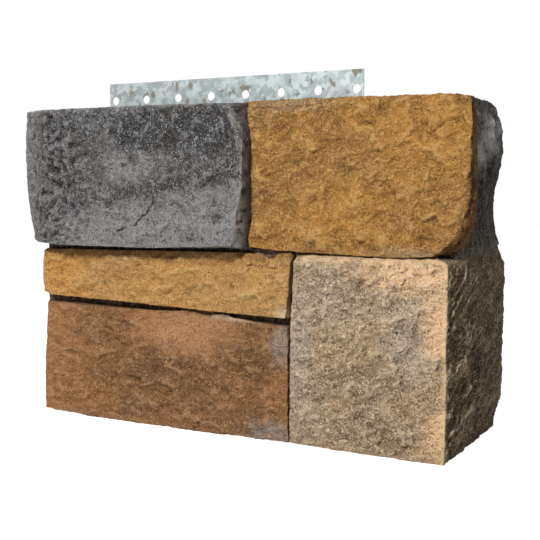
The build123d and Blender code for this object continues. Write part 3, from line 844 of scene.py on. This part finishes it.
def corner_stone():
    """The corner stone: one sheet bent round the arris, granular with low ledges on the long face and coarse
    gouges that climb to the back on the return."""
    outline = four_sides(
        (CORNER_LEFT, 1.4), (RETURN_END, 1), (RETURN_END, 117.6), (-93.4, 108.8),
        bottom=[(-50, 0.4), (0, 0.4), (50, 0.4)],
        right=[(RETURN_END, 60)],
        top=[(-90.6, 111), (-50, 111.8), (0, 110.8), (50, 114.4)],
        left=[(CORNER_LEFT, 30), (-95, 66)])
    root = four_sides(
        (CORNER_LEFT, 0.4), (RETURN_END, 0.4), (RETURN_END, 118), (-95, 114.6),
        top=[(0, 114.6), (30, 115)])
    across, up, gap = outline_sheet(outline, CORNER_STEP, raggedness=0.4, seed=101)
    across = np.clip(across, CORNER_LEFT, RETURN_END)
    face = (across, up)
    behind = step_up(across, -0.6, 0.6)
    front = 1 - behind
    arris_gap = np.abs(across)
    climb = 0.65 * (0.94 * across + 0.34 * up)
    front_relief = 1.5 * split_face(climb, 0.94 * up - 0.34 * across, 10, 103, ridged=0.35, gain=0.64)
    front_relief += 1.7 * flakes(*face, 8, 106)
    front_relief += 0.7 * flakes(*face, 3.4, 107)
    gouge_climb = 0.34 * (across + 0.72 * up)
    return_relief = 1.8 * split_face(gouge_climb, up - 0.72 * across, 8, 105, ridged=0.5, gain=0.74)
    return_relief += flakes(*face, 6, 108)
    return_relief += 0.9 * flakes(*face, 2.8, 109)
    return_relief -= 0.8 * step_up(across, 80, 101)
    # A hollow on the return: sunk into the relief and darkened as painted shade.
    shaded_hollow = behind * blob(across - 0.7 * (up - 44), up, (48, 44), (13, 13), 128)
    return_relief -= 1.6 * shaded_hollow
    return_relief *= step_up(up, 119, 104)
    relief = np.clip(arris_gap / 9, 0, 1) * front_relief * front
    relief += np.clip(arris_gap / 4, 0, 1) * return_relief * behind
    form = np.where(across < 0, base_form(FRONT_AXES, np.minimum(across, -2), up, lowest=-6, seed=111),
                    base_form(RETURN_AXES, np.maximum(across, 2), up, lowest=-6, seed=112))
    out = blur(form, 2) + settled(relief, gap)
    out -= worn_arris(gap, *face, width=1.3, drop=0.6, seed=113)
    out -= worn_arris(arris_gap, *face, width=1.2, drop=0.5, seed=114)
    out -= 2.6 * step_up(up, 104, 118) * step_up(across, 8, 50)
    arris_band = step_up(across, -20, -2) * front * step_up(rough(*face, 30, 115, octaves=3), -0.6, 0.3)
    peach = np.maximum(arris_band, front * blob(*face, (-20, 104), (28, 11), 116))
    ashen = front * blobs(*face, ((-74, 88), (22, 18), 117), ((-84, 20), (12, 20), 119))
    brown = front * blobs(*face, ((-60, 44), (30, 10), 120), ((-40, 14), (34, 9), 121))
    cool = front * blobs(*face, ((-22, 66), (16, 20), 126), ((-90, 58), (8, 34), 127))
    patches = [
        ("brown", brown, (124, 102, 78), 0.75),
        ("ashen", ashen, (158, 142, 122), 0.75),
        ("cool", cool, (168, 156, 142), 0.75),
        ("peach", peach, (248, 202, 152), 0.95),
        ("shaded", behind, (86, 74, 59), 0.95),
        ("shaded_hollow", shaded_hollow, (38, 31, 25), 0.85)]
    finish = stone_finish(
        "corner_stone", (88, 70, 50), (164, 138, 107), (226, 204, 172), ((170, 138, 100), (152, 136, 114)),
        patches, grain_contrast=0.9, hollow_shade_strength=0.4, streak=(1.4, 1.4, 1.0), worn=(240, 206, 160),
        joint_start=0.25)
    # Wear: pale along the worn arris, and at 0.7 a pale band along the top of the long face that is partly
    # wear and partly painted highlight where the top edge catches the light.
    wear = np.maximum(np.exp(-arris_gap / 1.6) * (1 - 0.6 * behind), 0.7 * step_up(up, 107.6, 110.6) * front)
    new_stone("corner_stone", round_corner, (*face, out), root, patches, finish, side_roughness=0.8, seed=118,
              wear=wear)


def return_stone():
    """The upper stone of the return: plain lumpy concrete with crevices darkened partly by painted shade,
    over a cove at its foot.
    """
    start = 14.5
    outline = four_sides(
        (start, 111.4), (98.6, 117), (98.2, 199.6), (start, 203.4),
        bottom=[(60, 114)],
        right=[(99, 160)],
        top=[(56, 204.2), (78, 204.4), (92, 203)],
        left=[(start, 160)])
    root = four_sides((start, 111), (99.1, 116.6), (99.1, 203), (start, 203.6))
    across, up, gap = outline_sheet(outline, FACE_STEP, raggedness=0.5, seed=121)
    face = (across, up)
    relief = 1.5 * split_face(across, 0.8 * up, 15, 124, ridged=0.15, gain=0.64)
    relief += 2.4 * lumps(*face, 11, 125) + flakes(*face, 4, 123) - 0.8
    relief -= crack(*face, [(40, 178), (56, 163), (74, 166), (84, 161)], width=1.8, depth=2.6, seed=130)
    relief -= crack(*face, [(46, 166), (52, 152), (66, 138)], width=1.8, depth=2.4, seed=131)
    relief -= crack(*face, [(62, 158), (78, 150), (86, 142)], width=1.6, depth=2.2, seed=132)
    out = base_form(RETURN_AXES, *face, lowest=-9, seed=126) + settled(relief, gap)
    out -= worn_arris(gap, *face, width=2, drop=0.8, seed=127)
    out += 1.8 * step_up(up, 127, 112)
    # This mask darkens the cracked middle, partly dark concrete and partly painted shade in the crevices, and
    # by the gold stone's end it is a painted shadow under its overhang.
    dark_and_painted_shade = blobs(*face, ((70, 156), (40, 18), 134), ((54, 146), (24, 24), 135))
    dark_and_painted_shade = np.maximum(dark_and_painted_shade, step_up(across, 48, 34) * step_up(up, 142, 126))
    pale = blobs(*face, ((76, 184), (18, 12), 128), ((56, 172), (10, 9), 133))
    patches = [
        ("dark_and_painted_shade", dark_and_painted_shade, (30, 28, 25), 0.95),
        ("pale", pale, (236, 233, 228), 0.95),
        ("brown", step_up(up, 132, 116), (82, 70, 56), 0.95)]
    finish = stone_finish(
        "return_stone", (22, 20, 18), (77, 72, 65), (158, 150, 139), ((89, 82, 73), (70, 66, 61)), patches,
        grain_contrast=0.75, hollow_shade_strength=0.95, mottle_size=7.0, grain_size=1.2)
    new_stone("return_stone", on_return, (*face, out), root, patches, finish, side_roughness=1.0, seed=129)


def concrete_backing():
    """The concrete behind the stones: a section carried along the L of the two legs, mitred at the corner.
    Round the section, each place is a share of the way from the joint floor to the wall side. The long leg's
    wall side is rebated at its foot, a fan closes each end, and noise dents the joint floor, wall side and
    top."""
    legs = np.concatenate([np.linspace(0.0, 1.0, int(-BACKING_END / BACKING_STEP)),
                           np.linspace(1.0, 2.0, int(RETURN_END / BACKING_STEP))[1:]])

    def bent(*values):
        """Along the L, straight between values at the free end, the corner and the return's end."""
        return np.interp(legs, (0, 1, 2), values)

    rebate_y = LEG_THICKNESS - REBATE_DEPTH
    floor_x = bent(BACKING_END, -JOINT_DEPTH, -JOINT_DEPTH)
    floor_y = bent(JOINT_DEPTH, JOINT_DEPTH, BACKING_RETURN_END)
    wall_x = bent(BACKING_END, -LEG_THICKNESS, -LEG_THICKNESS)
    wall_y = bent(LEG_THICKNESS, LEG_THICKNESS, BACKING_RETURN_END)
    foot_y = bent(rebate_y, rebate_y, BACKING_RETURN_END)

    sharp = 0.02
    levels = np.concatenate([np.arange(0.0, REBATE_HEIGHT - sharp, BACKING_STEP), [REBATE_HEIGHT - sharp],
                             np.arange(REBATE_HEIGHT + sharp, BACKING_TOP, BACKING_STEP), [BACKING_TOP]])
    crossing = np.linspace(0.0, 1.0, 15)[1:-1]
    section_share = np.concatenate([np.zeros_like(levels), crossing, np.ones_like(levels), crossing[::-1]])
    section_level = np.concatenate([levels, np.full_like(crossing, BACKING_TOP), levels[::-1],
                                    np.zeros_like(crossing)])
    share = np.tile(section_share, (len(legs), 1))
    level = np.tile(section_level, (len(legs), 1))
    back_y = np.where(level < REBATE_HEIGHT, foot_y[:, None], wall_y[:, None])
    x = floor_x[:, None] + share * (wall_x - floor_x)[:, None]
    y = floor_y[:, None] + share * (back_y - floor_y[:, None])

    floor_dent = 1.2
    wall_dent = 0.5
    top_dent = 0.8
    station = np.concatenate([[0.0], np.cumsum(np.hypot(np.diff(floor_x), np.diff(floor_y)))])
    run = np.tile(station[:, None], (1, len(section_share)))
    round_section = level + 60.0 * share
    dents = 0.4 * rough(run, round_section, 30.0, 141, octaves=3)
    dents += 0.25 * rough(run, round_section, 7.0, 142, octaves=2)
    dents -= 0.4
    outward = floor_dent * (share == 0.0) - wall_dent * (share == 1.0)
    long_leg = (legs <= 1.0)[:, None]
    on_top = (level == BACKING_TOP) & (share > 0.0) & (share < 1.0)
    x = x + outward * dents * ~long_leg
    y = y - outward * dents * long_leg
    z = level + top_dent * dents * on_top
    points = np.stack([x, y, z], axis=-1).reshape(-1, 3)

    index = np.arange(len(points)).reshape(share.shape)
    after = np.roll(index, -1, axis=1)
    quads = np.stack([index[:-1], index[1:], after[1:], after[:-1]], axis=-1).reshape(-1, 4)
    ends = np.stack([points[index[0]].mean(axis=0), points[index[-1]].mean(axis=0)])
    around = index.shape[1]
    first = np.stack([index[0], after[0], np.full(around, len(points))], axis=-1)
    last = np.stack([after[-1], index[-1], np.full(around, len(points) + 1)], axis=-1)

    fan_strip = 0.06
    girth = np.linspace(fan_strip, 1.0, around + 1)
    travel = station / station[-1]
    low = np.stack(np.meshgrid(travel, girth[:-1], indexing="ij"), axis=-1)
    high = np.stack(np.meshgrid(travel, girth[1:], indexing="ij"), axis=-1)
    quad_map = np.stack([low[:-1], low[1:], high[1:], high[:-1]], axis=2).reshape(-1, 4, 2)
    fans = np.concatenate([fan_map(around, 0.0, 0.49, fan_strip), fan_map(around, 0.51, 1.0, fan_strip)])
    joint = np.concatenate([(share == 0.0).ravel().astype(float), [0.0, 0.0]])
    finish = concrete_finish("backing_concrete", (88, 84, 78), (132, 128, 121))
    new_piece("concrete_backing", np.concatenate([points, ends]), quads, np.concatenate([first, last]),
              quad_map, fans, {"joint": joint}, finish)


# Stage, light and camera

def seen_directly(tree):
    """1 for rays from the camera, from gloss or through glass, and 0 for light on the object."""
    rays = add_node(tree, "ShaderNodeLightPath").outputs
    total = rays["Is Camera Ray"]
    for kind in ("Is Glossy Ray", "Is Transmission Ray"):
        total = add_node(tree, "ShaderNodeMath", {0: total, 1: rays[kind]}, operation="MAXIMUM").outputs[0]
    return total


def pale_floor():
    """A wide pale floor that is near white to the camera and keeps the object's shadow."""
    reach = 3.0
    corners = [(-reach, -reach, 0.0), (reach, -reach, 0.0), (reach, reach, 0.0), (-reach, reach, 0.0)]
    mesh = bpy.data.meshes.new("floor")
    mesh.from_pydata(corners, [], [(0, 1, 2, 3)])
    finish = Finish("pale_floor")
    glow = finish.product(seen_directly(finish.tree), FLOOR_WHITE)
    finish.shade({"Base Color": FLOOR_GREY, "Roughness": 1.0, "Specular IOR Level": 0.0,
                  "Emission Color": WHITE, "Emission Strength": glow})
    mesh.materials.append(finish.material)
    floor = bpy.data.objects.new("floor", mesh)
    bpy.context.scene.collection.objects.link(floor)


def white_surround():
    """A world that is white where it is seen and a plain soft light elsewhere."""
    world = bpy.data.worlds.new("studio")
    world.use_nodes = True
    tree = world.node_tree
    soft = tree.nodes["Background"]
    feed(tree, soft.inputs["Color"], WHITE)
    feed(tree, soft.inputs["Strength"], SOFT_LIGHT)
    white = add_node(tree, "ShaderNodeBackground", {"Color": WHITE, "Strength": 1.0})
    choice = add_node(tree, "ShaderNodeMixShader",
                      {0: seen_directly(tree), 1: soft.outputs[0], 2: white.outputs[0]})
    feed(tree, tree.nodes["World Output"].inputs["Surface"], choice.outputs[0])
    bpy.context.scene.world = world


def towards(azimuth, elevation):
    """The unit vector to something at an azimuth, from the front to the right, and an elevation."""
    turn = math.radians(azimuth)
    rise = math.radians(elevation)
    return Vector((math.sin(turn) * math.cos(rise), -math.cos(turn) * math.cos(rise), math.sin(rise)))


def aimed(name, data, place, back):
    """An object for a lamp or a camera that stands at a place and looks along the opposite of `back`."""
    made = bpy.data.objects.new(name, data)
    made.location = place
    made.rotation_euler = (-back).to_track_quat("-Z", "Y").to_euler()
    bpy.context.scene.collection.objects.link(made)
    return made


def soft_lamp(name, azimuth, elevation, distance, width, power):
    """A square lamp that looks at the middle of the long face."""
    data = bpy.data.lights.new(name, "AREA")
    data.size = width
    data.energy = power
    back = towards(azimuth, elevation)
    middle = Vector(place_in_frame((FREE_END / 2.0, 0.0, PANEL_HEIGHT / 2.0)))
    aimed(name, data, middle + distance * back, back)


def camera():
    """The photograph's camera, from the front and right of the corner and looking a little down."""
    data = bpy.data.cameras.new("camera")
    data.lens = CAMERA_LENS
    data.sensor_width = CAMERA_SENSOR
    back = towards(CAMERA_AZIMUTH, CAMERA_ELEVATION)
    bpy.context.scene.camera = aimed("camera", data, Vector(place_in_frame(CAMERA_PLACE)), back)


grey_stone()
gold_stone()
tan_strip()
rust_stone()
corner_stone()
return_stone()
concrete_backing()
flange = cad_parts["nailing_flange"]
flange.data.materials.clear()
flange.data.materials.append(galvanised_finish("galvanised_sheet"))

pale_floor()
white_surround()
soft_lamp("key_lamp", azimuth=0.0, elevation=38.0, distance=1.6, width=0.26, power=28.3)
soft_lamp("fill_lamp", azimuth=74.0, elevation=58.0, distance=1.8, width=0.3, power=2.4)
camera()
bpy.context.scene.view_settings.view_transform = "Standard"
